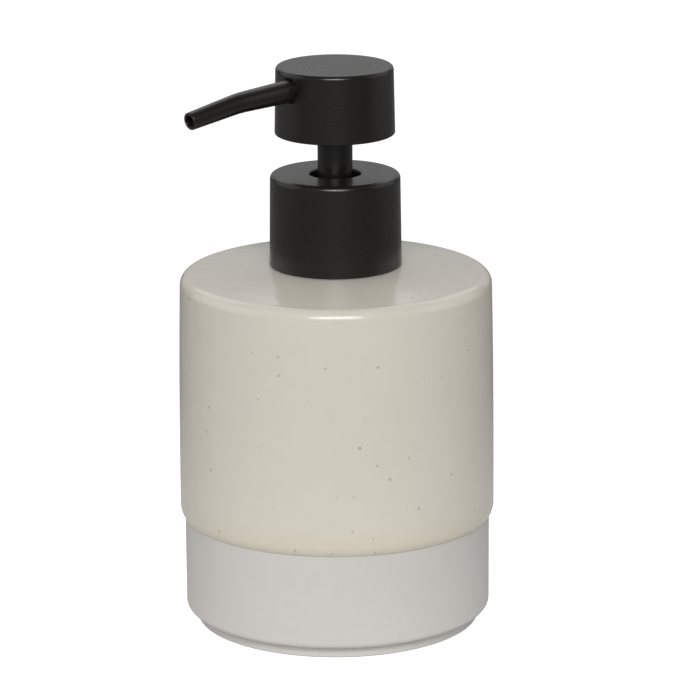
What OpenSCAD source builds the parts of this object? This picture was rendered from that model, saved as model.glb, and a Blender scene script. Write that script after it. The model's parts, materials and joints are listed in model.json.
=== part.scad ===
// Ceramic soap dispenser with a screw-on lotion pump.
// Millimetres, +Z up, origin at the centre of the foot ring's underside, spout towards -Y.

/* [Bottle] */
// Outer radius of the unglazed lower band
band_r = 38.5; // [38:0.1:38.6]
// Outer radius of the glazed wall above its rolled lower edge
glaze_r = 39.65; // [39.5:0.05:40.5]
// Radius the glazed wall has lost when it reaches the shoulder
wall_draft = 0.7; // [0:0.1:1]
// Height of the glaze's lower edge
glaze_z = 27.2; // [20:0.2:36]
// Thickness of the glaze coat on the wall
glaze_t = 0.5; // [0.3:0.05:0.6]
// Height where the wall ends and the top surface begins
shoulder_z = 89.4; // [84:0.2:89.6]
// Radius of the rounded shoulder
shoulder_round = 2.8; // [1.5:0.1:3.4]
// Height of the flat seat that the collar stands on
seat_z = 91.5; // [91:0.1:92]
// Thickness of the ceramic wall
wall_t = 4.2; // [3:0.1:5]
// Radius of the foot ring
foot_r = 35.65; // [34:0.05:36]
// Height of the foot ring under the band
foot_h = 3.1; // [2:0.1:4]
// Radius of the ceramic mouth
mouth_r = 13.4; // [13.2:0.1:13.6]

/* [Neck thread] */
// Radius of the threaded neck between its ridges
neck_r = 12.6; // [12.5:0.1:12.7]
// Height of a thread ridge
ridge_h = 1; // [0.8:0.05:1.1]
// Rise of the thread in one turn
pitch = 4.23; // [4:0.01:4.4]
// Turns of thread on the neck
neck_turns = 1.5; // [1.2:0.1:1.6]
// Radius of the bore through the neck
neck_bore_r = 10.9; // [10.6:0.1:11]

/* [Collar] */
// Height of the collar cover
collar_h = 23.2; // [23:0.1:24]
// Radius of the collar cover at its lower edge
collar_r = 16.5; // [16.4:0.1:17]
// Radius of the collar cover at its top edge
collar_top_r = 16.2; // [16:0.1:16.4]
// Radius of the hole in the top of the collar cover
collar_hole_r = 6.4; // [6.3:0.1:7]

/* [Pump] */
// Radius of the visible stem
stem_r = 4.35; // [4.2:0.05:4.5]
// Bore radius of the pump cylinder
cylinder_r = 6.9; // [6.8:0.1:7]
// Wall of the pump cylinder
cylinder_t = 1; // [0.8:0.1:1.2]
// How far the head travels when it is pressed
stroke = 9.5; // [6:0.5:9.5]
// Gap between the collar and the raised head
head_gap = 10.1; // [10:0.1:12]
// Radius of the check ball
ball_r = 2.4; // [2.2:0.1:2.5]
// Radius of the dip tube
dip_r = 3.15; // [3:0.05:3.2]
// Coils of the return spring
spring_coils = 9; // [7:1:10]
// Radius of the spring wire
wire_r = 0.4; // [0.35:0.05:0.45]

/* [Head and spout] */
// Radius of the head at its lower edge
head_r = 14.95; // [14.5:0.05:15.5]
// Radius of the head at its top edge
head_top_r = 14.6; // [14.2:0.05:15]
// Height of the head
head_h = 17.1; // [16.5:0.1:19]
// Depth of the spout's centre below the head's top
spout_drop = 4.6; // [4.4:0.1:5]
// Reach of the spout's tip from the pump's axis
spout_reach = 45; // [38:0.5:52]
// Radius of the spout where it leaves the head
spout_root_r = 2.85; // [2.7:0.05:3]
// Radius of the spout at its tip
spout_tip_r = 2.2; // [2.1:0.05:2.4]
// Radius of the spout's bore
spout_bore_r = 1.5; // [1.2:0.1:1.6]
// Fall of the spout beside the head, in degrees
root_fall = 3; // [0:0.5:5]
// Fall of the spout after its bend, in degrees
tip_fall = 9.5; // [6:0.5:12]

/* [Hidden] */
$fn = 96;

// gaps between pieces
hair = 0.05;      // pieces pushed or glued together
run_gap = 0.07;   // a round shaft in its guide
turn_gap = 0.3;   // threads and other parts that pass each other

// heights up the bottle and the neck
floor_t = 5;                                   // ceramic under the liquid
floor_round = 2.5;                             // rounding between the floor and the inside of the wall
roof_round = 3.5;                              // rounding between the wall and the ceramic over the liquid
foot_recess = 1.6;                             // hollow inside the foot ring
lip_edge = 0.15;                               // ledge left between the band and the rolled edge
lip_turn = 42;                                 // how far the rolled edge turns in, in degrees
lip_round = (glaze_r - band_r - lip_edge) / (1 - cos(lip_turn));
lip_z = glaze_z + lip_round * sin(lip_turn);   // height where the rolled edge meets the wall
flange_t = 1.4;                                // neck insert's flange on the ceramic
neck_foot_z = seat_z + flange_t;
neck_top_z = neck_foot_z + 14.1;
insert_z = shoulder_z - 5;                     // lower end of the insert inside the mouth
thread_z = neck_foot_z + 6;                    // start of the neck's thread
closure_thread_z = thread_z - 1.75;            // the closure's ridge bears on the neck's from below
closure_turns = 1.5;
gasket_t = 1.2;
cylinder_top_z = neck_top_z + gasket_t + 1.4;  // top of the pump housing's flange
collar_z = seat_z + 0.1;
collar_top_z = seat_z + collar_h;
head_z = collar_top_z + head_gap;
head_top_z = head_z + head_h;
head_wall = 1.4;
spout_z = head_top_z - spout_drop;             // spout's centre where it leaves the head
spout_axis_z = spout_z + head_top_r * tan(root_fall);
spout_start = 7.5;                             // where the spout begins inside the head
bend_y = -(head_top_r + spout_reach) / 2;      // where the spout bends downwards
bend_z = spout_axis_z + bend_y * tan(root_fall);

// the pump cylinder from its valve seat up
socket_z = 42;                                 // mouth of the dip tube's socket
tube_stop_z = 50;                              // dip tube's upper end
valve_z = 54;                                  // edge that the ball sits on
valve_r = 1.6;
chamber_r = ball_r + 0.6;                      // room around the ball, over a 45 degree valve seat
ledge_z = 59.5;                                // ledge under the ball retainer
retainer_t = 2.4;
spring_z = ledge_z + retainer_t;
piston_z = 89.5;                               // piston's lower edge at rest
piston_h = 6.5;
seat_head_h = 3.5;                             // head of the piston seat below the piston
lost_motion = 0.8;                             // slip of the piston on its stem
stem_out_r = 3;
stem_bore_r = 1.75;
sleeve_z = piston_z + piston_h + lost_motion;

// points along an arc in the (radius, height) plane
function arc(r0, z0, r, a0, a1, steps = 8) =
    [for (i = [0:steps]) let (a = a0 + (a1 - a0) * i / steps) [r0 + r * cos(a), z0 + r * sin(a)]];

// radius of the outer wall at a height
function wall_r(z) = glaze_r - wall_draft * pow((z - lip_z) / (shoulder_z - lip_z), 2);

// outline from the rolled lower edge, which ends at end_r, over the shoulder to the collar's seat, all of it
// moved inwards by cut
function upper_outline(end_r, cut) = let (top = shoulder_z - shoulder_round, r = lip_round - cut)
    concat(arc(glaze_r - lip_round, lip_z, r, -acos(1 - (glaze_r - cut - end_r) / r), 0, 6),
           [for (i = [1:6]) let (z = lip_z + (top - lip_z) * i / 6) [wall_r(z) - cut, z]],
           arc(wall_r(top) - shoulder_round, top, shoulder_round - cut, 8, 82, 7),
           [[wall_r(top) - shoulder_round, shoulder_z - cut],
            [collar_r + 8, shoulder_z - cut + 0.68 * (seat_z - shoulder_z)],
            [collar_r + 0.8, seat_z - cut]]);

module tube(r_out, r_in, z0, z1) {
    translate([0, 0, z0])
        difference() {
            cylinder(r = r_out, h = z1 - z0);
            translate([0, 0, -1]) cylinder(r = r_in, h = z1 - z0 + 2);
        }
}

// A section carried up a helix. Its points run clockwise as [outwards, upwards] from the helix, and the
// points on the given side of it (1 outer, -1 inner) sink away over the first and last few steps.
module helix(r, z0, rise, turns, section, side, fade, steps = 32) {
    n = ceil(turns * steps);
    m = len(section);
    points = [for (i = [0:n])
              let (a = 360 * turns * i / n, grow = max(0.05, min(1, i / fade, (n - i) / fade)))
              for (p = section) let (out = r + p[0] * (p[0] * side > 0 ? grow : 1))
              [out * cos(a), out * sin(a), z0 + rise * turns * i / n + p[1]]];
    sides = [for (i = [0:n - 1]) for (j = [0:m - 1]) let (k = (j + 1) % m, low = i * m, high = low + m)
             for (f = [[low + j, high + j, low + k], [low + k, high + j, high + k]]) f];
    ends = concat([[for (j = [0:m - 1]) j]], [[for (j = [m - 1:-1:0]) n * m + j]]);
    polyhedron(points, concat(sides, ends));
}

// ---- bottle ----

module bottle() {
    inner_r = band_r - wall_t;
    inner_top = shoulder_z - wall_t - 0.6;
    color("gainsboro")
        rotate_extrude()
            difference() {
                polygon(concat([[0, foot_recess], [foot_r - 4, foot_recess], [foot_r - 3, 0],
                                [foot_r - 0.6, 0], [foot_r, 0.6], [foot_r, foot_h]],
                               arc(band_r - 1.5, foot_h + 1.5, 1.5, -82, 0),
                               upper_outline(band_r, glaze_t),
                               [[0, seat_z - glaze_t]]));
                polygon(concat([[0, floor_t]],
                               arc(inner_r - floor_round, floor_t + floor_round, floor_round, -90, 0),
                               arc(inner_r - roof_round, inner_top - roof_round, roof_round, 0, 90),
                               [[mouth_r + 2, inner_top + 0.8], [mouth_r, inner_top + 2.8],
                                [mouth_r, seat_z + 1], [0, seat_z + 1]]));
            }
}

module glaze_coat() {
    outside = upper_outline(band_r + lip_edge, 0);
    inside = upper_outline(band_r, glaze_t);
    last = len(inside) - 1;
    color("antiquewhite")
        rotate_extrude()
            polygon(concat([[band_r, glaze_z]],
                           outside,
                           [[mouth_r, seat_z], [mouth_r, seat_z - glaze_t]],
                           [for (i = [last:-1:0]) inside[i]]));
}

module neck_insert() {
    color("dimgray")
        difference() {
            union() {
                translate([0, 0, insert_z]) cylinder(r = mouth_r - hair, h = neck_foot_z - insert_z);
                translate([0, 0, seat_z]) cylinder(r = mouth_r + 1.4, h = flange_t);
                translate([0, 0, neck_foot_z - 1]) cylinder(r = neck_r, h = neck_top_z - neck_foot_z + 1);
                helix(neck_r, thread_z, pitch, neck_turns,
                      [[-0.3, 0.95], [ridge_h, 0.45], [ridge_h, -0.45], [-0.3, -0.95]], 1, 5);
            }
            translate([0, 0, insert_z - 1]) cylinder(r = neck_bore_r, h = neck_top_z - insert_z + 2);
        }
}

// ---- pieces that rise with the pump ----

module neck_gasket() {
    color("whitesmoke") tube(neck_r + 0.6, cylinder_r + cylinder_t + 0.1, neck_top_z, neck_top_z + gasket_t);
}

module pump_housing() {
    out_r = cylinder_r + cylinder_t;
    color("white")
        rotate_extrude()
            polygon([[cylinder_r, cylinder_top_z], [neck_r + 0.7, cylinder_top_z],
                     [neck_r + 0.7, neck_top_z + gasket_t], [out_r, neck_top_z + gasket_t],
                     [out_r, 66], [out_r - 1.2, 64], [out_r - 1.2, ledge_z - 2], [dip_r + 1.2, valve_z - 3],
                     [dip_r + 1.2, socket_z], [dip_r + hair, socket_z], [dip_r + hair, tube_stop_z],
                     [valve_r, tube_stop_z], [valve_r, valve_z],
                     [chamber_r, valve_z + chamber_r - valve_r], [chamber_r, ledge_z],
                     [cylinder_r - 1.2, ledge_z], [cylinder_r - 1.2, 64],
                     [cylinder_r, 66]]);
}

module guide_ring() {
    color("black") {
        tube(cylinder_r - hair, stem_r + run_gap, cylinder_top_z - 7.1, cylinder_top_z);
        tube(cylinder_r + 1.5, stem_r + run_gap, cylinder_top_z, cylinder_top_z + 1.3);
        tube(collar_hole_r - turn_gap, stem_r + run_gap, cylinder_top_z + 1.3, collar_top_z - 2.6);
    }
}

module stem_wiper() {
    color("darkslategray")
        tube(cylinder_r - hair, stem_r + run_gap / 2, cylinder_top_z - 8.4, cylinder_top_z - 7.1);
}

module ball_retainer() {
    bar_w = 1.6;
    ring_r = cylinder_r - 1.2 - hair;
    color("white") {
        tube(ring_r, ring_r - 2.2, ledge_z, spring_z);
        intersection() {
            tube(ring_r - 1.1, 0.6, ledge_z, spring_z);
            union() {
                translate([-ring_r, -bar_w / 2, ledge_z]) cube([2 * ring_r, bar_w, retainer_t]);
                translate([-bar_w / 2, -ring_r, ledge_z]) cube([bar_w, 2 * ring_r, retainer_t]);
            }
        }
    }
}

module dip_tube() {
    slant = 20;
    color("gainsboro")
        difference() {
            tube(dip_r, dip_r - 0.95, 7, tube_stop_z);
            translate([0, 0, 7]) rotate([slant, 0, 0]) translate([-10, -10, -10]) cube([20, 20, 10]);
        }
}

// ---- pieces that turn with the collar ----

module screw_closure() {
    out_r = collar_r - 1.4;
    root_r = neck_r + ridge_h + turn_gap;
    z0 = neck_foot_z + 0.4;
    web_z = cylinder_top_z + 0.1;
    color("black") {
        tube(out_r, root_r, z0, web_z + 0.5);
        tube(out_r, cylinder_r + 1.7, web_z, web_z + 1.5);
        helix(root_r, closure_thread_z, pitch, closure_turns,
              [[0.3, 0.85], [0.3, -0.85], [-ridge_h, -0.4], [-ridge_h, 0.4]], -1, 5);
    }
}

module collar_cover() {
    round = 1.2;
    in_r = collar_r - 1.4 + hair;
    roof_z = collar_top_z - 1.8;
    color("#26231f")
        rotate_extrude()
            polygon(concat([[in_r, collar_z], [collar_r - 0.3, collar_z], [collar_r, collar_z + 0.3]],
                           arc(collar_top_r - round, collar_top_z - round, round, 0, 90, 6),
                           arc(collar_hole_r + 0.5, collar_top_z - 0.5, 0.5, 90, 180, 4),
                           [[collar_hole_r, roof_z], [in_r, roof_z]]));
}

// ---- pieces that move inside the pump ----

module return_spring() {
    top_z = piston_z - seat_head_h;
    mean_r = 4.4;
    free_h = top_z - spring_z - 2 * wire_r;
    color("silver")
        helix(mean_r, spring_z + wire_r, free_h / spring_coils, spring_coils,
              [for (i = [0:7]) wire_r * [cos(-45 * i), sin(-45 * i)]], 0, 1, 20);
}

module inlet_ball() {
    centre_z = valve_z - valve_r + (ball_r + hair / 2) * sqrt(2);
    color("silver") translate([0, 0, centre_z]) sphere(r = ball_r);
}

module piston() {
    lip_t = 0.9;
    out_r = cylinder_r - hair;
    in_r = stem_out_r + run_gap;
    color("lightgray")
        rotate_extrude()
            polygon([[in_r, piston_z], [in_r + 1.2, piston_z], [out_r - lip_t, piston_z + 1.6],
                     [out_r - lip_t, piston_z], [out_r, piston_z], [out_r, piston_z + piston_h],
                     [out_r - lip_t, piston_z + piston_h], [out_r - lip_t, piston_z + piston_h - 2],
                     [in_r + 1.2, piston_z + piston_h - 2], [in_r + 1.2, piston_z + piston_h],
                     [in_r, piston_z + piston_h]]);
}

// ---- pieces that go down with the head ----

module piston_seat() {
    color("white")
        difference() {
            union() {
                translate([0, 0, piston_z - seat_head_h]) cylinder(r = 5.3, h = seat_head_h - 0.6);
                translate([0, 0, piston_z - 0.6]) cylinder(r1 = 5.3, r2 = 4.6, h = 0.6);
                translate([0, 0, piston_z - 0.1]) cylinder(r = stem_bore_r - hair, h = 4.1);
            }
            for (a = [0:90:270])
                rotate([0, 0, a]) translate([stem_bore_r - 0.6, -0.4, piston_z]) cube([2, 0.8, 6]);
        }
}

module inner_stem() {
    port_z = piston_z + 2;
    color("white")
        difference() {
            tube(stem_out_r, stem_bore_r, piston_z, head_z + 9);
            for (a = [0:90:90])
                rotate([0, 90, a]) translate([-port_z, 0, -5]) cylinder(r = 0.8, h = 10);
        }
}

module stem_sleeve() {
    color("#1c1b1a") tube(stem_r, stem_out_r + hair, sleeve_z, head_z + 2.9);
}

// a bar along the spout's line, from a start towards -Y, falling by the given angle
module spout_bar(y, z, fall, length, r1, r2) {
    translate([0, y, z]) rotate([90 + fall, 0, 0]) cylinder(r1 = r1, r2 = r2, h = length);
}

module head_core() {
    hub_r = 6.2;
    socket_r = spout_root_r + 1.3;
    plate_z = head_z + 0.4;
    core_r = head_top_r - head_wall - hair;
    color("#1c1b1a")
        difference() {
            union() {
                translate([0, 0, plate_z]) cylinder(r = core_r, h = 2.2);
                translate([0, 0, plate_z]) cylinder(r = hub_r, h = head_h - 2.2);
                intersection() {
                    spout_bar(0, spout_axis_z, root_fall, 20, socket_r, socket_r);
                    translate([0, 0, head_z]) cylinder(r = core_r - 0.1, h = head_h - head_wall - hair);
                }
                for (a = [0:60:300])
                    rotate([0, 0, a + 30]) translate([hub_r - 1, -0.6, plate_z])
                        cube([core_r - hub_r + 0.5, 1.2, 8]);
            }
            translate([0, 0, head_z - 1]) cylinder(r = stem_r + hair, h = 4);
            translate([0, 0, head_z]) cylinder(r = stem_out_r + hair, h = 9.1);
            translate([0, 0, head_z]) cylinder(r = stem_bore_r, h = spout_z - head_z);
            spout_bar(0, spout_axis_z, root_fall, 9, spout_bore_r, spout_bore_r);
            spout_bar(-spout_start, spout_axis_z - spout_start * tan(root_fall), root_fall, 12,
                      spout_root_r + hair, spout_root_r + hair);
        }
}

module head_shell() {
    round = 1;
    color("#26231f")
        difference() {
            rotate_extrude()
                polygon(concat([[head_r - head_wall, head_z], [head_r - 0.4, head_z], [head_r, head_z + 0.4]],
                               arc(head_top_r - round, head_top_z - round, round, 0, 90, 6),
                               [[0, head_top_z], [0, head_top_z - head_wall],
                                [head_top_r - head_wall, head_top_z - head_wall]]));
            spout_bar(-10, spout_axis_z - 10 * tan(root_fall), root_fall, 8, spout_root_r + hair,
                      spout_root_r + hair);
        }
}

// the spout's two straight lengths, which meet at the bend and run on past it and past the tip by extra
module spout_line(start, r1, r2, r3, extra) {
    start_z = spout_axis_z - start * tan(root_fall);
    spout_bar(-start, start_z, root_fall, (-bend_y - start) / cos(root_fall) + extra, r1, r2);
    spout_bar(bend_y + extra, bend_z + extra * tan(tip_fall), tip_fall,
              (spout_reach + bend_y + 2 * extra) / cos(tip_fall), r2, r3);
}

module spout() {
    middle_r = (spout_root_r + spout_tip_r) / 2;
    color("#1c1b1a")
        difference() {
            union() {
                spout_line(spout_start, spout_root_r, middle_r, spout_tip_r, 0);
                translate([0, bend_y, bend_z]) sphere(r = 1.01 * middle_r);
            }
            spout_line(spout_start - 1, spout_bore_r, spout_bore_r, spout_bore_r, 0.4);
        }
}

bottle();
glaze_coat();
neck_insert();
neck_gasket();
pump_housing();
guide_ring();
stem_wiper();
ball_retainer();
dip_tube();
screw_closure();
collar_cover();
return_spring();
inlet_ball();
piston();
piston_seat();
inner_stem();
stem_sleeve();
head_core();
head_shell();
spout();
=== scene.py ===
# Ceramic soap dispenser with a screw-on lotion pump: surfaces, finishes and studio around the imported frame.
import bpy
import json
import math
import numpy as np
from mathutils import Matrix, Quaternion, Vector


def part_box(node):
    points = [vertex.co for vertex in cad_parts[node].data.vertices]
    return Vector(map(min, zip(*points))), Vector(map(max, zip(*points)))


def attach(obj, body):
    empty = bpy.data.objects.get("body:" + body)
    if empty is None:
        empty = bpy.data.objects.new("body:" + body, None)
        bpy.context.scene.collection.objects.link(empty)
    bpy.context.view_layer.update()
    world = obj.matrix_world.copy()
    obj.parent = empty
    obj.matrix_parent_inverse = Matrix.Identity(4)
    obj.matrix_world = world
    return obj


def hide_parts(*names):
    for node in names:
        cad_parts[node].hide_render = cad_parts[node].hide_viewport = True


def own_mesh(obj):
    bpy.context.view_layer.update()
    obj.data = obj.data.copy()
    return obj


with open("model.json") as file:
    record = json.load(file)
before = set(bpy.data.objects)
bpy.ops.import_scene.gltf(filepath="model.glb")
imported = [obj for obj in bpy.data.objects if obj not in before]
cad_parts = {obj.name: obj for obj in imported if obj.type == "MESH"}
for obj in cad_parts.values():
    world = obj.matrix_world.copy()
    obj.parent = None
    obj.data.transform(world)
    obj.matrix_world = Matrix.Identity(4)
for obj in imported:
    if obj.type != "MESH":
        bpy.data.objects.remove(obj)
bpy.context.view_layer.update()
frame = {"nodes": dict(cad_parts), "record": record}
mm = 0.001


def nodeBox(node):
    # a node's lowest and highest corner in millimetres
    low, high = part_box(node)
    return np.array(low) / mm, np.array(high) / mm


# an outline is rows of radius and height in millimetres, anticlockwise, so that faces point outwards
meshing = {"samePoint": 1e-5, "straight": 1e-6, "support": 0.12, "longSide": 0.48, "longest": 3.0}


def arcPoints(centre, radius, start, stop, steps):
    # a circle's points: centre plus radius times cosine and sine, from one angle to the other in degrees
    angle = np.radians(np.linspace(start, stop, steps + 1))
    return np.column_stack([centre[0] + radius * np.cos(angle), centre[1] + radius * np.sin(angle)])


def roundedCorners(corners, closed=True, steps=8):
    # each corner (radius, height, rounding) becomes the arc that touches both of its sides: the arc's
    # centre lies on the line that halves the corner, rounding / sin(half angle) away from it
    rows = np.array(corners, float)
    here, rounding = rows[:, :2], rows[:, 2:3].copy()
    before, after = np.roll(here, 1, 0) - here, np.roll(here, -1, 0) - here
    if not closed:
        before[0], after[-1] = -after[0], -before[-1]
        rounding[[0, -1]] = 0
    before /= np.linalg.norm(before, axis=1, keepdims=True)
    after /= np.linalg.norm(after, axis=1, keepdims=True)
    half = np.arccos(np.clip(np.sum(before * after, 1, keepdims=True), -1, 1)) / 2
    middle = before + after
    length = np.linalg.norm(middle, axis=1, keepdims=True)
    straight = meshing["straight"]
    middle = np.where(length > straight, middle / np.maximum(length, straight), 0)
    centre = here + middle * rounding / np.sin(half)
    first = before * rounding / np.tan(half) + here - centre
    last = after * rounding / np.tan(half) + here - centre
    turn = np.maximum(np.pi - 2 * half, straight)
    share = np.linspace(0, 1, steps + 1)
    weightFirst = (np.sin((1 - share) * turn) / np.sin(turn))[..., None]
    weightLast = (np.sin(share * turn) / np.sin(turn))[..., None]
    points = centre[:, None] + weightFirst * first[:, None] + weightLast * last[:, None]
    return points.reshape(-1, 2)


def finished(points, closed=True, longest=meshing["longest"]):
    # drops repeated points, then adds points close to both ends of each long side and along it, so that
    # smooth shading stays flat between the rounded corners
    support, samePoint = meshing["support"], meshing["samePoint"]
    gap = np.linalg.norm(np.diff(points, axis=0), axis=1)
    points = points[np.r_[True, gap > samePoint]]
    if closed:
        points = points[np.linalg.norm(points - np.roll(points, 1, 0), axis=1) > samePoint]
        points = np.vstack([points, points[:1]])
    gap = np.linalg.norm(np.diff(points, axis=0), axis=1)
    station = np.r_[0, np.cumsum(gap)]
    side = np.flatnonzero(gap > meshing["longSide"])
    extra = [station, station[side] + support, station[side + 1] - support]
    extra += [np.linspace(station[i], station[i + 1], int(gap[i] // longest) + 2) for i in side]
    where = np.unique(np.round(np.concatenate(extra), decimals=6))
    points = np.column_stack([np.interp(where, station, points[:, k]) for k in (0, 1)])
    return points[:-1] if closed else points


def meshPiece(name, vertices, faces):
    # a smooth piece at the origin, with its place in its mesh
    mesh = bpy.data.meshes.new(name)
    mesh.from_pydata(np.asarray(vertices).reshape(-1, 3).tolist(), [], [list(f) for f in faces])
    mesh.polygons.foreach_set("use_smooth", np.ones(len(mesh.polygons), bool))
    mesh.update()
    piece = bpy.data.objects.new(name, mesh)
    bpy.context.scene.collection.objects.link(piece)
    return piece


def gridFaces(rows, columns, wrapRows):
    # four-sided faces of a grid whose columns close on themselves, and whose rows do if asked
    row = np.arange(rows if wrapRows else rows - 1)[:, None]
    column = np.arange(columns)[None, :]
    nextRow, nextColumn = (row + 1) % rows, (column + 1) % columns
    corners = [row * columns + column, row * columns + nextColumn,
               nextRow * columns + nextColumn, nextRow * columns + column]
    return np.stack(np.broadcast_arrays(*corners), -1).reshape(-1, 4)


def revolved(name, outline, closed, segments, warp=None):
    # radius * cos(turn), radius * sin(turn), height over the outline and a full turn; an outline that
    # isn't closed starts and ends on the axis, where its ring becomes one point
    turn = np.linspace(0, 2 * np.pi, segments, endpoint=False)[None, :]
    radius, height = outline[:, :1] + 0 * turn, outline[:, 1:] + 0 * turn
    if warp:
        radius, height = warp(radius, height, turn)
    grid = np.stack([radius * np.cos(turn), radius * np.sin(turn), height], -1) * mm
    if closed:
        return meshPiece(name, grid, gridFaces(len(outline), segments, True).tolist())
    inner = grid[1:-1].reshape(-1, 3)
    vertices = np.vstack([inner, grid[0].mean(0), grid[-1].mean(0)])
    low, high = len(inner), len(inner) + 1
    spot = np.arange(segments)
    after = (spot + 1) % segments
    lastRow = len(inner) - segments
    faces = gridFaces(len(outline) - 2, segments, False).tolist()
    faces += np.column_stack([after, spot, spot * 0 + low]).tolist()
    faces += np.column_stack([lastRow + spot, lastRow + after, spot * 0 + high]).tolist()
    return meshPiece(name, vertices, faces)


def carried(name, path, across, radius, along, sides):
    # rings carried along a path: each outline row gives a radius and a distance along the path, and the
    # ring stands square to the path there, spanned by the across direction and its partner
    gap = np.linalg.norm(np.diff(path, axis=0), axis=1)
    station = np.r_[0, np.cumsum(gap)]
    heading = np.gradient(path, station, axis=0)
    centre = np.column_stack([np.interp(along, station, path[:, k]) for k in range(3)])
    heading = np.column_stack([np.interp(along, station, heading[:, k]) for k in range(3)])
    heading /= np.linalg.norm(heading, axis=1, keepdims=True)
    side = np.broadcast_to(np.array(across, float), heading.shape)
    partner = np.cross(heading, side)
    turn = np.linspace(0, 2 * np.pi, sides, endpoint=False)[None, :, None]
    grid = centre[:, None] + radius[:, None, None] * (
        np.cos(turn) * side[:, None] + np.sin(turn) * partner[:, None])
    return meshPiece(name, grid * mm, gridFaces(len(along), sides, True).tolist())


def linked(tree, source, target):
    tree.links.new(source, target)


def addNode(tree, kind, **settings):
    # a shader node with its settings; a name that starts with in_ sets that input's value
    node = tree.nodes.new(kind)
    for key, value in settings.items():
        if key.startswith("in_"):
            node.inputs[key.removeprefix("in_")].default_value = value
        else:
            setattr(node, key, value)
    return node


def mathStep(tree, operation, first, second=None, third=None, clamp=False):
    # one Math node, whose inputs are numbers or outputs of other nodes
    node = addNode(tree, "ShaderNodeMath", operation=operation, use_clamp=clamp)
    for index, value in enumerate((first, second, third)):
        if isinstance(value, (int, float)):
            node.inputs[index].default_value = value
        elif value is not None:
            linked(tree, value, node.inputs[index])
    return node.outputs[0]


def mixColour(tree, factor, first, second):
    # the Mix node's colour sockets are 6 and 7, its factor is 0 and its colour output is 2
    node = addNode(tree, "ShaderNodeMix", data_type="RGBA")
    for index, value in ((0, factor), (6, first), (7, second)):
        if isinstance(value, tuple):
            node.inputs[index].default_value = (*value, 1)
        else:
            linked(tree, value, node.inputs[index])
    return node.outputs[2]


def newGroup(name, inputs, outputs):
    # an empty shader group with its sockets, given as name, kind and an input's own value
    group = bpy.data.node_groups.new(name, "ShaderNodeTree")
    for label, kind, value in inputs:
        socket = group.interface.new_socket(label, in_out="INPUT", socket_type=kind)
        if value is not None:
            socket.default_value = value
    for label, kind in outputs:
        group.interface.new_socket(label, in_out="OUTPUT", socket_type=kind)
    return group, group.nodes.new("NodeGroupInput"), group.nodes.new("NodeGroupOutput")


speckPattern = {"wobbleScale": 9.0, "wobbleDetail": 1.0, "wobbleSpan": 0.5, "wobbleLeast": 0.75,
                "sizeSpan": 0.7, "sizeLeast": 0.6, "edgeSlope": -1.5, "edgeStart": 1.6}


def makeSpecks():
    # scattered specks: each cell of a cellular pattern holds one ball, with its own size and strength
    p = speckPattern
    group, given, out = newGroup("specks", [
        ("Vector", "NodeSocketVector", None), ("Spacing", "NodeSocketFloat", 0.004),
        ("Radius", "NodeSocketFloat", 0.0003), ("Share", "NodeSocketFloat", 0.5)],
        [("Mask", "NodeSocketFloat"), ("Tone", "NodeSocketFloat")])
    perMetre = mathStep(group, "DIVIDE", 1.0, given.outputs["Spacing"])
    scaled = addNode(group, "ShaderNodeVectorMath", operation="SCALE")
    linked(group, given.outputs["Vector"], scaled.inputs[0])
    linked(group, perMetre, scaled.inputs["Scale"])
    wobble = addNode(group, "ShaderNodeTexNoise", in_Scale=p["wobbleScale"], in_Detail=p["wobbleDetail"])
    linked(group, scaled.outputs[0], wobble.inputs["Vector"])
    cells = addNode(group, "ShaderNodeTexVoronoi", in_Scale=1.0)
    linked(group, scaled.outputs[0], cells.inputs["Vector"])
    chance = addNode(group, "ShaderNodeSeparateColor")
    linked(group, cells.outputs["Color"], chance.inputs[0])
    distance = mathStep(group, "MULTIPLY", cells.outputs["Distance"], given.outputs["Spacing"])
    uneven = mathStep(group, "MULTIPLY_ADD", wobble.outputs[0], p["wobbleSpan"], p["wobbleLeast"])
    distance = mathStep(group, "MULTIPLY", distance, uneven)
    size = mathStep(group, "MULTIPLY_ADD", chance.outputs[0], p["sizeSpan"], p["sizeLeast"])
    size = mathStep(group, "MULTIPLY", size, given.outputs["Radius"])
    edge = mathStep(group, "DIVIDE", distance, size)
    soft = mathStep(group, "MULTIPLY_ADD", edge, p["edgeSlope"], p["edgeStart"], clamp=True)
    kept = mathStep(group, "LESS_THAN", chance.outputs[1], given.outputs["Share"])
    mask = mathStep(group, "MULTIPLY", soft, kept)
    linked(group, mask, out.inputs["Mask"])
    linked(group, chance.outputs[2], out.inputs["Tone"])
    return group


mottlePattern = {"detail": 3.0, "roughness": 0.55, "middle": 0.5, "fineShare": 0.5}


def makeMottle():
    # slow change of tone: two layers of noise, one broad and one finer, centred on zero
    p = mottlePattern
    group, given, out = newGroup("mottle", [
        ("Vector", "NodeSocketVector", None), ("Broad", "NodeSocketFloat", 40.0),
        ("Fine", "NodeSocketFloat", 400.0)], [("Value", "NodeSocketFloat")])
    layers = []
    for label in ("Broad", "Fine"):
        noise = addNode(group, "ShaderNodeTexNoise", in_Detail=p["detail"], in_Roughness=p["roughness"])
        linked(group, given.outputs["Vector"], noise.inputs["Vector"])
        linked(group, given.outputs[label], noise.inputs["Scale"])
        layers.append(mathStep(group, "SUBTRACT", noise.outputs[0], p["middle"]))
    value = mathStep(group, "MULTIPLY_ADD", layers[1], p["fineShare"], layers[0])
    linked(group, value, out.inputs["Value"])
    return group


grainPattern = {"detail": 2.0, "roughness": 0.6, "slope": 2.4, "offset": -0.7}


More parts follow.
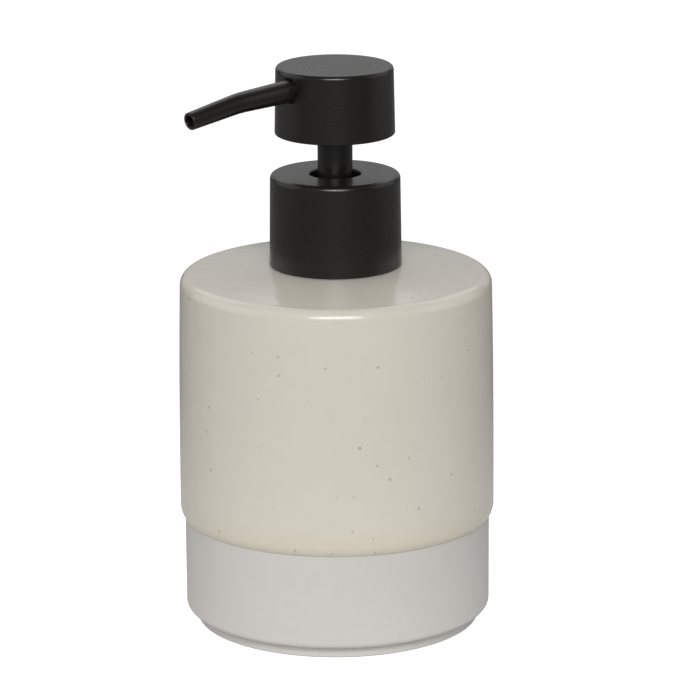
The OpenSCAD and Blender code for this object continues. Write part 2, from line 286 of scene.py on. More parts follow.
def makeGrain():
    # fine surface texture: small noise for a moulded or fired skin, as a height and as a 0 to 1 value
    p = grainPattern
    group, given, out = newGroup("grain", [
        ("Vector", "NodeSocketVector", None), ("Size", "NodeSocketFloat", 0.0003)],
        [("Height", "NodeSocketFloat"), ("Value", "NodeSocketFloat")])
    scale = mathStep(group, "DIVIDE", 1.0, given.outputs["Size"])
    noise = addNode(group, "ShaderNodeTexNoise", in_Detail=p["detail"], in_Roughness=p["roughness"])
    linked(group, given.outputs["Vector"], noise.inputs["Vector"])
    linked(group, scale, noise.inputs["Scale"])
    sharp = mathStep(group, "MULTIPLY_ADD", noise.outputs[0], p["slope"], p["offset"], clamp=True)
    linked(group, noise.outputs[0], out.inputs["Height"])
    linked(group, sharp, out.inputs["Value"])
    return group


dustPattern = {"upSlope": 1.6, "upOffset": -0.6, "scale": 260.0, "detail": 6.0, "roughness": 0.7,
               "patchSlope": 1.8, "patchOffset": -0.4}


def makeDust():
    # a faint film on what faces up: the normal's upward part, broken up by noise
    p = dustPattern
    group, given, out = newGroup("dust", [
        ("Vector", "NodeSocketVector", None), ("Amount", "NodeSocketFloat", 0.1)],
        [("Mask", "NodeSocketFloat")])
    geometry = addNode(group, "ShaderNodeNewGeometry")
    parts = addNode(group, "ShaderNodeSeparateXYZ")
    linked(group, geometry.outputs["Normal"], parts.inputs[0])
    upward = mathStep(group, "MULTIPLY_ADD", parts.outputs["Z"], p["upSlope"], p["upOffset"], clamp=True)
    noise = addNode(group, "ShaderNodeTexNoise", in_Scale=p["scale"], in_Detail=p["detail"],
                    in_Roughness=p["roughness"])
    linked(group, given.outputs["Vector"], noise.inputs["Vector"])
    patches = mathStep(group, "MULTIPLY_ADD", noise.outputs[0], p["patchSlope"], p["patchOffset"],
                       clamp=True)
    mask = mathStep(group, "MULTIPLY", upward, patches)
    mask = mathStep(group, "MULTIPLY", mask, given.outputs["Amount"])
    linked(group, mask, out.inputs["Mask"])
    return group


groups = {"specks": makeSpecks(), "mottle": makeMottle(), "grain": makeGrain(), "dust": makeDust()}
print("stage: shader groups made")


def startMaterial(name, **sockets):
    # a material's tree with its own shader sockets set, and Object coordinates to place patterns by
    material = bpy.data.materials.new(name)
    material.use_nodes = True
    tree = material.node_tree
    shader = tree.nodes["Principled BSDF"]
    for label, value in sockets.items():
        shader.inputs[label].default_value = value
    place = addNode(tree, "ShaderNodeTexCoord").outputs["Object"]
    return material, tree, shader, place


def placed(tree, group, place, **values):
    # one of the pattern groups, with this material's own values
    node = addNode(tree, "ShaderNodeGroup", node_tree=groups[group])
    linked(tree, place, node.inputs["Vector"])
    for label, value in values.items():
        node.inputs[label].default_value = value
    return node


def bumped(tree, shader, height, distance, strength, under=None):
    # relief from a height, laid over an earlier relief if one is given
    bump = addNode(tree, "ShaderNodeBump", in_Strength=strength, in_Distance=distance)
    linked(tree, height, bump.inputs["Height"])
    if under is not None:
        linked(tree, under, bump.inputs["Normal"])
    linked(tree, bump.outputs[0], shader.inputs["Normal"])
    return bump.outputs[0]


def shaded(tree, colour, value, amount):
    # a colour made lighter and darker by a value around zero
    factor = mathStep(tree, "MULTIPLY_ADD", value, amount, 1.0)
    node = addNode(tree, "ShaderNodeVectorMath", operation="SCALE")
    if isinstance(colour, tuple):
        node.inputs[0].default_value = colour
    else:
        linked(tree, colour, node.inputs[0])
    linked(tree, factor, node.inputs["Scale"])
    return node.outputs[0]


# sizes in a finish are in metres, and a pattern's broad and fine scales are noise cells in a metre
glazeLook = {"cream": (0.74, 0.70, 0.61), "lip": (0.71, 0.65, 0.53), "edgeTintHeight": 0.007, "refraction": 1.52,
             "broad": 26.0, "fine": 210.0, "contrast": 0.07,
             "speck": (0.26, 0.235, 0.195), "faint": (0.42, 0.395, 0.33),
             "speckSpacing": 0.0034, "speckRadius": 0.00042, "speckShareLow": 1.0, "speckShareTop": 0.08,
             "speckStrength": 0.6, "speckRoughness": 0.15,
             "smallSpacing": 0.0023, "smallRadius": 0.00027, "smallShare": 0.55, "smallStrength": 0.28,
             "roughness": 0.13, "roughSpan": 0.05, "grainSize": 0.0022,
             "waveDepth": 0.00025, "waveStrength": 0.5, "grainDepth": 0.00004, "grainStrength": 0.5}


def makeGlaze():
    look = glazeLook
    material, tree, shader, place = startMaterial("speckledGlaze", IOR=look["refraction"])
    height = addNode(tree, "ShaderNodeSeparateXYZ")
    linked(tree, place, height.inputs[0])
    low, high = nodeBox("glaze_coat")
    # the glaze's colour turns darker and warmer within a few millimetres of its lower edge
    rise = mathStep(tree, "SUBTRACT", height.outputs["Z"], float(low[2]) * mm)
    edgeShare = mathStep(tree, "MULTIPLY_ADD", rise, -1 / look["edgeTintHeight"], 1.0, clamp=True)
    colour = mixColour(tree, edgeShare, look["cream"], look["lip"])
    mottle = placed(tree, "mottle", place, Broad=look["broad"], Fine=look["fine"])
    colour = shaded(tree, colour, mottle.outputs["Value"], look["contrast"])
    # the large specks thin out from the lower edge to the top
    big = placed(tree, "specks", place, Spacing=look["speckSpacing"], Radius=look["speckRadius"])
    upward = mathStep(tree, "DIVIDE", rise, float(high[2] - low[2]) * mm, clamp=True)
    share = mathStep(tree, "MULTIPLY_ADD", upward, look["speckShareTop"] - look["speckShareLow"],
                     look["speckShareLow"])
    linked(tree, share, big.inputs["Share"])
    small = placed(tree, "specks", place, Spacing=look["smallSpacing"], Radius=look["smallRadius"],
                   Share=look["smallShare"])
    tone = mixColour(tree, big.outputs["Tone"], look["speck"], look["faint"])
    strong = mathStep(tree, "MULTIPLY", big.outputs["Mask"], look["speckStrength"])
    colour = mixColour(tree, strong, colour, tone)
    weak = mathStep(tree, "MULTIPLY", small.outputs["Mask"], look["smallStrength"])
    colour = mixColour(tree, weak, colour, look["faint"])
    linked(tree, colour, shader.inputs["Base Color"])
    grain = placed(tree, "grain", place, Size=look["grainSize"])
    rough = mathStep(tree, "MULTIPLY_ADD", grain.outputs["Value"], look["roughSpan"], look["roughness"])
    rough = mathStep(tree, "MULTIPLY_ADD", strong, look["speckRoughness"], rough)
    linked(tree, rough, shader.inputs["Roughness"])
    wave = bumped(tree, shader, mottle.outputs["Value"], look["waveDepth"], look["waveStrength"])
    bumped(tree, shader, grain.outputs["Height"], look["grainDepth"], look["grainStrength"], wave)
    return material


bareLook = {"clay": (0.665, 0.64, 0.61), "refraction": 1.5, "broad": 34.0, "fine": 520.0, "contrast": 0.09,
            "speck": (0.36, 0.33, 0.29), "speckSpacing": 0.0026, "speckRadius": 0.00013, "speckShare": 0.5,
            "speckStrength": 0.3, "roughness": 0.72, "roughSpan": 0.14, "grainSize": 0.00028,
            "ringScale": (3, 3, 900), "ringDetail": 2.0, "ringDepth": 0.00006, "ringStrength": 0.35,
            "grainDepth": 0.00005, "grainStrength": 0.6}


def makeBareCeramic():
    look = bareLook
    material, tree, shader, place = startMaterial("bareCeramic", IOR=look["refraction"])
    mottle = placed(tree, "mottle", place, Broad=look["broad"], Fine=look["fine"])
    colour = shaded(tree, look["clay"], mottle.outputs["Value"], look["contrast"])
    specks = placed(tree, "specks", place, Spacing=look["speckSpacing"], Radius=look["speckRadius"],
                    Share=look["speckShare"])
    weak = mathStep(tree, "MULTIPLY", specks.outputs["Mask"], look["speckStrength"])
    colour = mixColour(tree, weak, colour, look["speck"])
    linked(tree, colour, shader.inputs["Base Color"])
    grain = placed(tree, "grain", place, Size=look["grainSize"])
    rough = mathStep(tree, "MULTIPLY_ADD", grain.outputs["Value"], look["roughSpan"], look["roughness"])
    linked(tree, rough, shader.inputs["Roughness"])
    # faint rings left by turning on the wheel
    stretched = addNode(tree, "ShaderNodeMapping", in_Scale=look["ringScale"])
    linked(tree, place, stretched.inputs["Vector"])
    rings = addNode(tree, "ShaderNodeTexNoise", in_Scale=1.0, in_Detail=look["ringDetail"])
    linked(tree, stretched.outputs[0], rings.inputs["Vector"])
    turned = bumped(tree, shader, rings.outputs[0], look["ringDepth"], look["ringStrength"])
    bumped(tree, shader, grain.outputs["Height"], look["grainDepth"], look["grainStrength"], turned)
    return material


blackLook = {"black": (0.0100, 0.0077, 0.0069), "refraction": 1.5, "broad": 60.0, "fine": 700.0,
             "contrast": 0.35, "dust": (0.16, 0.155, 0.15), "dustAmount": 0.05,
             "lintSpacing": 0.0022, "lintRadius": 0.00007, "lintShare": 0.35, "lintStrength": 0.12,
             "roughness": 0.24, "roughSpan": 0.05, "roughMottle": 0.06, "grainSize": 0.00022,
             "grainDepth": 0.00001, "grainStrength": 0.5}


def makeSatinBlack():
    look = blackLook
    material, tree, shader, place = startMaterial("satinBlack", IOR=look["refraction"])
    mottle = placed(tree, "mottle", place, Broad=look["broad"], Fine=look["fine"])
    colour = shaded(tree, look["black"], mottle.outputs["Value"], look["contrast"])
    dust = placed(tree, "dust", place, Amount=look["dustAmount"])
    colour = mixColour(tree, dust.outputs["Mask"], colour, look["dust"])
    specks = placed(tree, "specks", place, Spacing=look["lintSpacing"], Radius=look["lintRadius"],
                    Share=look["lintShare"])
    lint = mathStep(tree, "MULTIPLY", specks.outputs["Mask"], look["lintStrength"])
    colour = mixColour(tree, lint, colour, look["dust"])
    linked(tree, colour, shader.inputs["Base Color"])
    grain = placed(tree, "grain", place, Size=look["grainSize"])
    rough = mathStep(tree, "MULTIPLY_ADD", grain.outputs["Value"], look["roughSpan"], look["roughness"])
    rough = mathStep(tree, "MULTIPLY_ADD", mottle.outputs["Value"], look["roughMottle"], rough)
    linked(tree, rough, shader.inputs["Roughness"])
    bumped(tree, shader, grain.outputs["Height"], look["grainDepth"], look["grainStrength"])
    return material


mouldedLook = {"broad": 120.0, "fine": 900.0, "dustAmount": 0.12, "dustFade": 0.6, "dustLift": 0.12,
               "roughSpan": 0.1, "grainSize": 0.0003, "grainDepth": 0.00003, "grainStrength": 0.5}
mouldings = {
    # slot: the material's name, colour, roughness, contrast of the flow marks, refraction
    "grey_plastic": ("greyMoulding", (0.10, 0.10, 0.098), 0.42, 0.12, 1.5),
    "white_plastic": ("whiteMoulding", (0.72, 0.72, 0.69), 0.36, 0.12, 1.5),
    "piston_plastic": ("naturalMoulding", (0.55, 0.57, 0.56), 0.3, 0.12, 1.5),
    "clear_tube": ("naturalTube", (0.66, 0.69, 0.67), 0.24, 0.08, 1.5),
    "seal": ("softSeal", (0.50, 0.50, 0.48), 0.62, 0.2, 1.45),
}


def makeMoulded(name, colour, roughness, contrast, refraction):
    # plain moulded plastic or rubber: flow marks in its tone, and a fine skin
    look = mouldedLook
    material, tree, shader, place = startMaterial(name, IOR=refraction)
    mottle = placed(tree, "mottle", place, Broad=look["broad"], Fine=look["fine"])
    shade = shaded(tree, colour, mottle.outputs["Value"], contrast)
    dust = placed(tree, "dust", place, Amount=look["dustAmount"])
    dusty = tuple(look["dustFade"] * c + look["dustLift"] for c in colour)
    shade = mixColour(tree, dust.outputs["Mask"], shade, dusty)
    linked(tree, shade, shader.inputs["Base Color"])
    grain = placed(tree, "grain", place, Size=look["grainSize"])
    rough = mathStep(tree, "MULTIPLY_ADD", grain.outputs["Value"], look["roughSpan"], roughness)
    linked(tree, rough, shader.inputs["Roughness"])
    bumped(tree, shader, grain.outputs["Height"], look["grainDepth"], look["grainStrength"])
    return material


steelLook = {"steel": (0.56, 0.55, 0.53), "broad": 150.0, "fine": 1600.0, "contrast": 0.2,
             "roughness": 0.2, "roughSpan": 0.14, "grainSize": 0.0002, "grainDepth": 0.00001,
             "grainStrength": 0.4}


def makeSteel():
    # drawn wire: a bright metal whose tone and gloss change a little over the surface
    look = steelLook
    material, tree, shader, place = startMaterial("brightSteel", Metallic=1.0)
    mottle = placed(tree, "mottle", place, Broad=look["broad"], Fine=look["fine"])
    colour = shaded(tree, look["steel"], mottle.outputs["Value"], look["contrast"])
    linked(tree, colour, shader.inputs["Base Color"])
    grain = placed(tree, "grain", place, Size=look["grainSize"])
    rough = mathStep(tree, "MULTIPLY_ADD", grain.outputs["Value"], look["roughSpan"], look["roughness"])
    linked(tree, rough, shader.inputs["Roughness"])
    bumped(tree, shader, grain.outputs["Height"], look["grainDepth"], look["grainStrength"])
    return material


finish = {"glaze": makeGlaze(), "bare_ceramic": makeBareCeramic(), "satin_black": makeSatinBlack()}
for slotName, row in mouldings.items():
    finish[slotName] = makeMoulded(*row)
finish["spring_steel"] = makeSteel()
print("stage: finishes made")


def dress(piece, slot, body, *nodes):
    # a finished piece gets its material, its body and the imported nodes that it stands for
    piece.data.materials.append(finish[slot])
    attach(piece, body)
    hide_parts(*nodes)
    return piece


# piece sizes are in millimetres and degrees; rows, steps, sides and segments count points
bottleShape = {"footRing": 3.0, "ringRound": 0.6, "ringInnerRound": 0.5, "recess": 1.6, "recessSlope": 1.2,
               "recessRound": 0.8, "footHeight": 3.1, "footRadius": 35.65, "undercutRound": 0.35,
               "bandRadius": 38.5, "bandRound": 1.5, "wall": 4.2, "floor": 5.0, "floorRound": 2.5,
               "roofDrop": 0.6, "roofRound": 3.5, "mouth": 13.4, "mouthRound": 0.2, "throatRise": 2.8,
               "throatRound": 0.5, "flare": 2.0, "flareRise": 0.8, "flareRound": 0.8, "segments": 224}
glazeShape = {"thickness": 0.5, "overlap": 0.02, "ledge": 0.15, "lipTurn": 42, "lipRise": 0.02,
              "lipSteps": 12, "sink": 0.06, "sunkRise": 0.1, "draft": 0.7, "wallRows": 24, "shoulder": 89.4,
              "shoulderRound": 2.8, "shoulderFrom": 3, "shoulderTo": 86, "shoulderSteps": 14,
              "topGap": 0.4, "topRows": 22, "topPower": 1.3, "seatRadius": 17.3,
              "mouthEdgeAcross": 0.25, "mouthEdgeDown": 0.2}
waverShape = {"size": 0.045, "start": 17.5, "reach": 10, "swing": 0.6, "twoTwist": 0.03,
              "threeShare": 0.6, "threeTwist": 0.05, "threePhase": 1.3}


def rolledEdge():
    # the glaze's rolled lower edge: its rounding, and the height where it meets the wall
    g = glazeShape
    low, high = nodeBox("glaze_coat")
    turn = math.radians(g["lipTurn"])
    rounding = (high[0] - bottleShape["bandRadius"] - g["ledge"]) / (1 - math.cos(turn))
    return rounding, low[2] + rounding * math.sin(turn)


def wallRadius(height, cut=0.0):
    # the wall leans in with the square of the height: radius - draft * share of the height squared
    foot = rolledEdge()[1]
    share = np.clip((height - foot) / (glazeShape["shoulder"] - foot), 0, 1)
    return nodeBox("glaze_coat")[1][0] - glazeShape["draft"] * share ** 2 - cut


def upperOutline(end, cut):
    # rolled edge from the radius where it ends, wall, rounded shoulder and gently rising top, set in by cut
    g = glazeShape
    high = nodeBox("glaze_coat")[1]
    seat = high[2]
    rounding, foot = rolledEdge()
    turn = math.degrees(math.acos(1 - (high[0] - cut - end) / (rounding - cut)))
    edge = arcPoints((high[0] - rounding, foot), rounding - cut, -turn, 0, g["lipSteps"])
    top = g["shoulder"] - g["shoulderRound"]
    height = np.linspace(foot, top, g["wallRows"])[1:]
    wall = np.column_stack([wallRadius(height, cut), height])
    corner = wallRadius(top) - g["shoulderRound"]
    shoulder = arcPoints((corner, top), g["shoulderRound"] - cut, g["shoulderFrom"], g["shoulderTo"],
                         g["shoulderSteps"])
    radius = np.linspace(corner - g["topGap"], g["seatRadius"], g["topRows"])
    share = (radius - g["seatRadius"]) / (corner - g["seatRadius"])
    rise = g["shoulder"] + (seat - g["shoulder"]) * (1 - share ** g["topPower"]) - cut
    return np.vstack([edge, wall, shoulder, np.column_stack([radius, rise])])


def ceramicWaver(radius, height, turn):
    # hand-finished ceramic is never quite round: a few hundredths of a millimetre, in two and three lobes
    w = waverShape
    size = w["size"] * np.clip((radius - w["start"]) / w["reach"], 0, 1)
    two = np.sin(2 * turn + height * w["twoTwist"])
    three = np.sin(3 * turn - height * w["threeTwist"] + w["threePhase"])
    return radius - size * (1 + w["swing"] * (two + w["threeShare"] * three)), height


def makeBottle():
    # a turned outline: foot ring and band, the wall under the glaze, then back down the inside
    b, g = bottleShape, glazeShape
    band, cut = b["bandRadius"], g["thickness"] - g["overlap"]
    upper = upperOutline(band, cut)
    seat = nodeBox("glaze_coat")[1][2] - cut
    ringInner = b["footRadius"] - b["footRing"]
    foot = roundedCorners([
        (0, b["recess"], 0), (ringInner - b["recessSlope"], b["recess"], b["recessRound"]),
        (ringInner, 0, b["ringInnerRound"]), (b["footRadius"], 0, b["ringRound"]),
        (b["footRadius"], b["footHeight"], b["undercutRound"]), (band, b["footHeight"], b["bandRound"]),
        (band, upper[0, 1], 0)], closed=False)
    inner = band - b["wall"]
    roof = g["shoulder"] - b["wall"] - b["roofDrop"]
    inside = roundedCorners([
        (g["seatRadius"], seat, 0), (b["mouth"], seat, b["mouthRound"]),
        (b["mouth"], roof + b["throatRise"], b["throatRound"]),
        (b["mouth"] + b["flare"], roof + b["flareRise"], b["flareRound"]),
        (inner, roof, b["roofRound"]), (inner, b["floor"], b["floorRound"]),
        (0, b["floor"], 0)], closed=False)
    outline = finished(np.vstack([foot, upper, inside]), closed=False)
    bottle = revolved("ceramicBottle", outline, False, b["segments"], ceramicWaver)
    return dress(bottle, "bare_ceramic", "bottle", "bottle")


def makeGlazeCoat():
    # a turned shell: its outer outline, the edge round the mouth, and the inner one sunk into the ceramic
    g = glazeShape
    low, high = nodeBox("glaze_coat")
    lip, seat = low[2], high[2]
    mouth, band = bottleShape["mouth"], bottleShape["bandRadius"]
    hidden = band - g["sink"]
    outline = np.vstack([
        [[hidden, lip + g["sunkRise"]], [band, lip + g["lipRise"]], [band + g["ledge"] / 2, lip]],
        upperOutline(band + g["ledge"], 0.0),
        [[mouth + g["mouthEdgeAcross"], seat], [mouth, seat - g["mouthEdgeDown"]],
         [mouth, seat - g["thickness"]]],
        upperOutline(hidden, g["thickness"] + g["sink"])[::-1]])
    coat = revolved("glazeCoat", finished(outline), True, bottleShape["segments"], ceramicWaver)
    return dress(coat, "glaze", "bottle", "glaze_coat")


makeBottle()
makeGlazeCoat()
print("stage: bottle made")


collarShape = {"wall": 1.35, "topRadius": 16.2, "topRound": 1.2, "footRound": 0.3, "innerFootRound": 0.2,
               "hole": 6.4, "holeRound": 0.5, "holeInnerRound": 0.2, "roof": 1.8, "roofRound": 0.4,
               "steps": 10, "segments": 160}


def makeCollar():
    # a turned cup, upside down, with the stem's hole in its roof
    c = collarShape
    low, high = nodeBox("collar_cover")
    inner = high[0] - c["wall"]
    roof = high[2] - c["roof"]
    outline = roundedCorners([
        (inner, low[2], c["innerFootRound"]), (high[0], low[2], c["footRound"]),
        (c["topRadius"], high[2], c["topRound"]), (c["hole"], high[2], c["holeRound"]),
        (c["hole"], roof, c["holeInnerRound"]), (inner, roof, c["roofRound"])], steps=c["steps"])
    cover = revolved("collarCover", finished(outline), True, c["segments"])
    return dress(cover, "satin_black", "closure", "collar_cover")


stemShape = {"bore": 3.05, "boreRound": 0.1, "chamfer": 0.3, "stopGap": 0.04, "steps": 5, "segments": 96}


def makeStem():
    # a turned tube that ends just above the piston's highest place
    s = stemShape
    low, high = nodeBox("stem_sleeve")
    foot = low[2] + s["stopGap"]
    outline = roundedCorners([
        (s["bore"], foot, s["boreRound"]), (high[0], foot, s["chamfer"]),
        (high[0], high[2], s["chamfer"]), (s["bore"], high[2], s["boreRound"])], steps=s["steps"])
    stem = revolved("stemSleeve", finished(outline), True, s["segments"])
    return dress(stem, "satin_black", "head", "stem_sleeve")


guideShape = {"gap": 0.07, "boreFootRound": 0.1, "boreTopRound": 0.4, "plugFootRound": 0.3,
              "plugTopRound": 0.1, "flange": 1.3, "flangeFootRound": 0.2, "flangeTopRound": 0.3,
              "holeGap": 0.3, "rimFootRound": 0.2, "rimRound": 0.35, "steps": 6, "segments": 128}


def makeGuide():
    # a turned bush: a plug in the housing, a flange on top of it, and a rim in the collar's hole
    g = guideShape
    low, high = nodeBox("guide_ring")
    bore = nodeBox("stem_sleeve")[1][0] + g["gap"]
    plug = nodeBox("stem_wiper")[1][0]
    flangeFoot = nodeBox("pump_housing")[1][2]
    flangeTop = flangeFoot + g["flange"]
    rim = collarShape["hole"] - g["holeGap"]
    outline = roundedCorners([
        (bore, low[2], g["boreFootRound"]), (plug, low[2], g["plugFootRound"]),
        (plug, flangeFoot, g["plugTopRound"]), (high[0], flangeFoot, g["flangeFootRound"]),
        (high[0], flangeTop, g["flangeTopRound"]), (rim, flangeTop, g["rimFootRound"]),
        (rim, high[2], g["rimRound"]), (bore, high[2], g["boreTopRound"])], steps=g["steps"])
    ring = revolved("guideRing", finished(outline), True, g["segments"])
    return dress(ring, "satin_black", "pump", "guide_ring")


springShape = {"wire": 0.4, "coils": 9, "easing": 0.75, "samples": 44, "sides": 12}


def makeSpring():
    # a helix whose pitch closes at both ends: height follows the turn, less a sine that slows it there
    s = springShape
    low, high = nodeBox("return_spring")
    wire, sides = s["wire"], s["sides"]
    mean = high[0] - wire
    share = np.linspace(0, 1, s["coils"] * s["samples"])
    eased = share - np.sin(2 * np.pi * share) / (2 * np.pi) * s["easing"]
    turn = 2 * np.pi * s["coils"] * share
    path = np.column_stack([mean * np.cos(turn), mean * np.sin(turn),
                            low[2] + wire + (high[2] - low[2] - 2 * wire) * eased])
    heading = np.gradient(path, axis=0)
    heading /= np.linalg.norm(heading, axis=1, keepdims=True)
    outward = np.column_stack([np.cos(turn), np.sin(turn), 0 * turn])
    partner = np.cross(heading, outward)
    around = np.linspace(0, 2 * np.pi, sides, endpoint=False)[None, :, None]
    ring = np.cos(around) * outward[:, None] + np.sin(around) * partner[:, None]
    grid = path[:, None] + wire * ring
    faces = gridFaces(len(path), sides, False).tolist()
    lastRing = (len(path) - 1) * sides
    faces += [list(range(sides - 1, -1, -1)), list(range(lastRing, lastRing + sides))]
    spring = meshPiece("returnSpring", grid * mm, faces)
    dress(spring, "spring_steel", "pump", "return_spring")
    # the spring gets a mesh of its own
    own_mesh(spring)
    return spring


makeCollar()
makeStem()
makeGuide()
makeSpring()
print("stage: collar and pump made")


headShape = {"wall": 1.4, "topRadius": 14.6, "topRound": 1.0, "topInnerRound": 0.5, "footRound": 0.45,
             "footInnerRound": 0.25, "steps": 10, "longest": 1.2, "segments": 192,
             "holeGap": 0.12, "holeLength": 12.0, "holeRows": 8, "holeSides": 64, "pointRadius": 1e-3}
spoutShape = {"rootFall": 3.0, "tipFall": 9.5, "rootRadius": 2.85, "tipRadius": 2.2, "bore": 1.5,
              "boreRound": 0.1, "rootRound": 0.2, "lipRound": 0.3, "socket": 7.3, "drop": 4.6,
              "bendRadius": 34.0, "rootRows": 12, "bendRows": 16, "tipRows": 14, "steps": 8,
              "longest": 1.0, "sides": 56}


def spoutPath():
    # in the plane of the spout: straight, then an arc that turns by the two falls' difference, then straight
    s = spoutShape
    low, high = nodeBox("spout")
    headTop = nodeBox("head_shell")[1][2]
    first, second = math.radians(s["rootFall"]), math.radians(s["tipFall"])
    rootWay = np.array([math.cos(first), -math.sin(first)])
    tipWay = np.array([math.cos(second), -math.sin(second)])
    height = headTop - s["drop"] + headShape["topRadius"] * math.tan(first)
    bend = (headShape["topRadius"] - low[1]) / 2
    half = s["bendRadius"] * math.tan((second - first) / 2)
    start, reach = -high[1], -low[1] - s["tipRadius"] * math.sin(second)
    corner = np.array([bend, height - bend * math.tan(first)])
    root = np.linspace([start, height - start * math.tan(first)], corner - half * rootWay, s["rootRows"])
    centre = root[-1] - s["bendRadius"] * np.array([math.sin(first), math.cos(first)])
    fall = np.linspace(first, second, s["bendRows"])[1:]
    arc = centre + s["bendRadius"] * np.column_stack([np.sin(fall), np.cos(fall)])
    tip = np.linspace(arc[-1], corner + (reach - bend) / math.cos(second) * tipWay, s["tipRows"])[1:]
    flat = np.vstack([root, arc, tip])
    return np.column_stack([0 * flat[:, 0], -flat[:, 0], flat[:, 1]])


def makeSpout():
    # rings carried along the spout's path: full width in the head, then tapering to the lip and back inside
    s = spoutShape
    path = spoutPath()
    length = np.linalg.norm(np.diff(path, axis=0), axis=1).sum()
    outline = roundedCorners([
        (s["bore"], 0, s["boreRound"]), (s["rootRadius"], 0, s["rootRound"]),
        (s["rootRadius"], s["socket"], 0), (s["tipRadius"], length, s["lipRound"]),
        (s["bore"], length, s["lipRound"])], steps=s["steps"])
    outline = finished(outline, longest=s["longest"])
    spout = carried("spoutTube", path, (1, 0, 0), outline[:, 0], outline[:, 1], s["sides"])
    return dress(spout, "satin_black", "head", "spout")


def makeHead():
    # a turned cap, hollow from below, with the spout's hole cut through its side
    h = headShape
    low, high = nodeBox("head_shell")
    inner, roof = high[0] - h["wall"], high[2] - h["wall"]
    outline = roundedCorners([
        (0, roof, 0), (h["topRadius"] - h["wall"], roof, h["topInnerRound"]),
        (inner, low[2], h["footInnerRound"]), (high[0], low[2], h["footRound"]),
        (h["topRadius"], high[2], h["topRound"]), (0, high[2], 0)], closed=False, steps=h["steps"])
    outline = finished(outline, closed=False, longest=h["longest"])
    head = revolved("headShell", outline, False, h["segments"])
    # a round tool along the spout's first length, drawn to a point at both ends
    along = np.linspace(0, h["holeLength"], h["holeRows"])
    along = np.r_[along[0], along, along[-1]]
    radius = np.full(len(along), spoutShape["rootRadius"] + h["holeGap"])
    radius[[0, -1]] = h["pointRadius"]
    cutter = carried("holeTool", spoutPath(), (1, 0, 0), radius, along, h["holeSides"])
    cut = head.modifiers.new("spoutHole", "BOOLEAN")
    cut.object, cut.operation, cut.solver = cutter, "DIFFERENCE", "EXACT"
    shell = bpy.data.meshes.new_from_object(head.evaluated_get(bpy.context.evaluated_depsgraph_get()))
    head.modifiers.clear()
    head.data = shell
    bpy.data.objects.remove(cutter)
    return dress(head, "satin_black", "head", "head_shell")


makeSpout()
makeHead()
print("stage: head and spout made")


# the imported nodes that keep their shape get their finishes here
slotOfNode = {entry["node"]: entry["material_slot"] for entry in frame["record"]["subparts"]}
for nodeName, nodeObject in frame["nodes"].items():
    if not nodeObject.hide_render:
        for holder in nodeObject.material_slots:
            holder.material = finish[slotOfNode[nodeName]]
print("stage: packed nodes dressed")


studio = {"azimuth": 51.0, "elevation": 15.24, "roll": 0.368, "distance": 1.059, "lens": 217.2,
          "sensor": 36, "nearClip": 0.01, "farClip": 20, "target": (0, 0, 0.070),
          "shift": (0.01964, -0.00463), "air": 0.109}
lamps = [
    # name, azimuth from the camera, elevation, distance, size across and up, power in watts
    ("keyPanel", 0, 36, 1.2, 0.36, 0.2, 2.6),
    ("softFront", 0, 30, 1.3, 0.85, 0.6, 8.7),
    ("leftFront", -55, 18, 1.0, 0.9, 0.9, 0.4),
    ("leftSide", -100, 20, 1.0, 1.0, 0.9, 1.95),
    ("rightSide", 100, 20, 1.0, 1.0, 0.9, 1.63),
    ("backLow", 180, 14, 1.3, 1.8, 0.6, 1.15),
    ("backHigh", 180, 45, 1.0, 1.4, 0.6, 2.7),
]


def direction(azimuth, elevation):
    # the way to a place that stands at this azimuth and elevation in degrees
    a, e = math.radians(azimuth), math.radians(elevation)
    return Vector((math.sin(a) * math.cos(e), -math.cos(a) * math.cos(e), math.sin(e)))


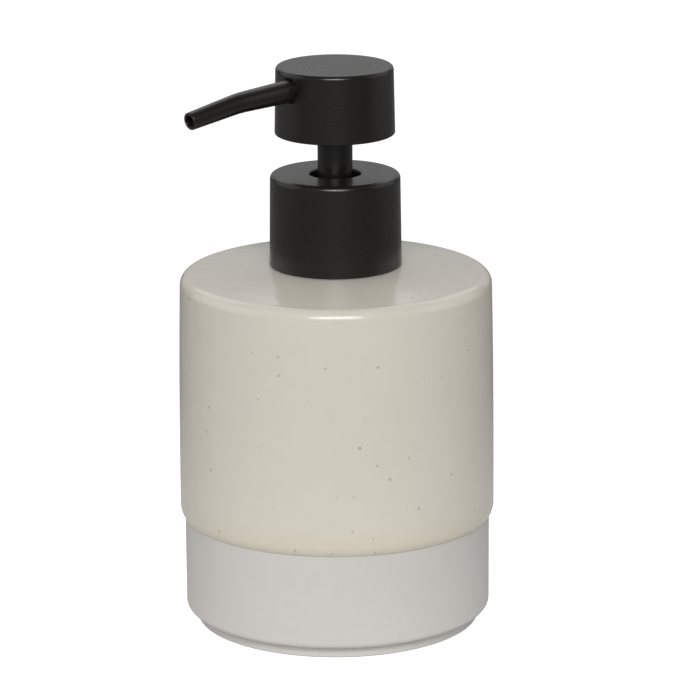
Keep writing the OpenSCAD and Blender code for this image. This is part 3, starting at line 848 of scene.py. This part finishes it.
def makeStudio():
    scene = bpy.context.scene
    target = Vector(studio["target"])
    view = direction(studio["azimuth"], studio["elevation"])
    camera = bpy.data.objects.new("camera", bpy.data.cameras.new("camera"))
    camera.data.lens, camera.data.sensor_width = studio["lens"], studio["sensor"]
    camera.data.shift_x, camera.data.shift_y = studio["shift"]
    camera.data.clip_start, camera.data.clip_end = studio["nearClip"], studio["farClip"]
    camera.location = target + view * studio["distance"]
    camera.rotation_mode = "QUATERNION"
    upright = (-view).to_track_quat("-Z", "Y")
    camera.rotation_quaternion = Quaternion(-view, math.radians(studio["roll"])) @ upright
    scene.collection.objects.link(camera)
    scene.camera = camera
    for name, azimuth, elevation, distance, across, upwards, power in lamps:
        light = bpy.data.lights.new(name, "AREA")
        light.shape, light.size, light.size_y, light.energy = "RECTANGLE", across, upwards, power
        lamp = bpy.data.objects.new(name, light)
        side = direction(studio["azimuth"] + azimuth, elevation)
        lamp.location = target + side * distance
        lamp.rotation_mode = "QUATERNION"
        lamp.rotation_quaternion = side.to_track_quat("Z", "Y")
        scene.collection.objects.link(lamp)
    world = bpy.data.worlds.new("studioAir")
    world.use_nodes = True
    backdrop = world.node_tree.nodes["Background"]
    backdrop.inputs["Color"].default_value = (1, 1, 1, 1)
    backdrop.inputs["Strength"].default_value = studio["air"]
    scene.world = world
    scene.view_settings.view_transform = "Standard"


floorLook = {"half": 3.0, "drop": 0.00005, "roughness": 0.85, "lift": 0.9, "nearFloor": (0.85, 0.85, 0.85),
             "farFloor": (0.28, 0.28, 0.28), "nearReach": 0.07, "farReach": 0.24, "broad": 2.0,
             "fine": 40.0, "contrast": 0.01}


def makeFloor():
    # a pale floor that reads as white to the camera, and throws only a little light back at the piece
    look = floorLook
    half, height = look["half"], -look["drop"]
    floor = meshPiece("floor", [[-half, -half, height], [half, -half, height], [half, half, height],
                                [-half, half, height]], [[0, 1, 2, 3]])
    material, tree, shader, place = startMaterial("paleFloor", Roughness=look["roughness"])
    mottle = placed(tree, "mottle", place, Broad=look["broad"], Fine=look["fine"])
    away = addNode(tree, "ShaderNodeVectorMath", operation="LENGTH")
    linked(tree, place, away.inputs[0])
    near, far = look["nearReach"], look["farReach"]
    share = mathStep(tree, "MULTIPLY_ADD", away.outputs["Value"], 1 / (far - near), near / (near - far),
                     clamp=True)
    tone = mixColour(tree, share, look["nearFloor"], look["farFloor"])
    colour = shaded(tree, tone, mottle.outputs["Value"], look["contrast"])
    linked(tree, colour, shader.inputs["Base Color"])
    shader.inputs["Emission Strength"].default_value = look["lift"]
    seen = addNode(tree, "ShaderNodeLightPath").outputs["Is Camera Ray"]
    linked(tree, seen, shader.inputs["Emission Color"])
    floor.data.materials.append(material)


makeStudio()
makeFloor()
print("stage: studio made")
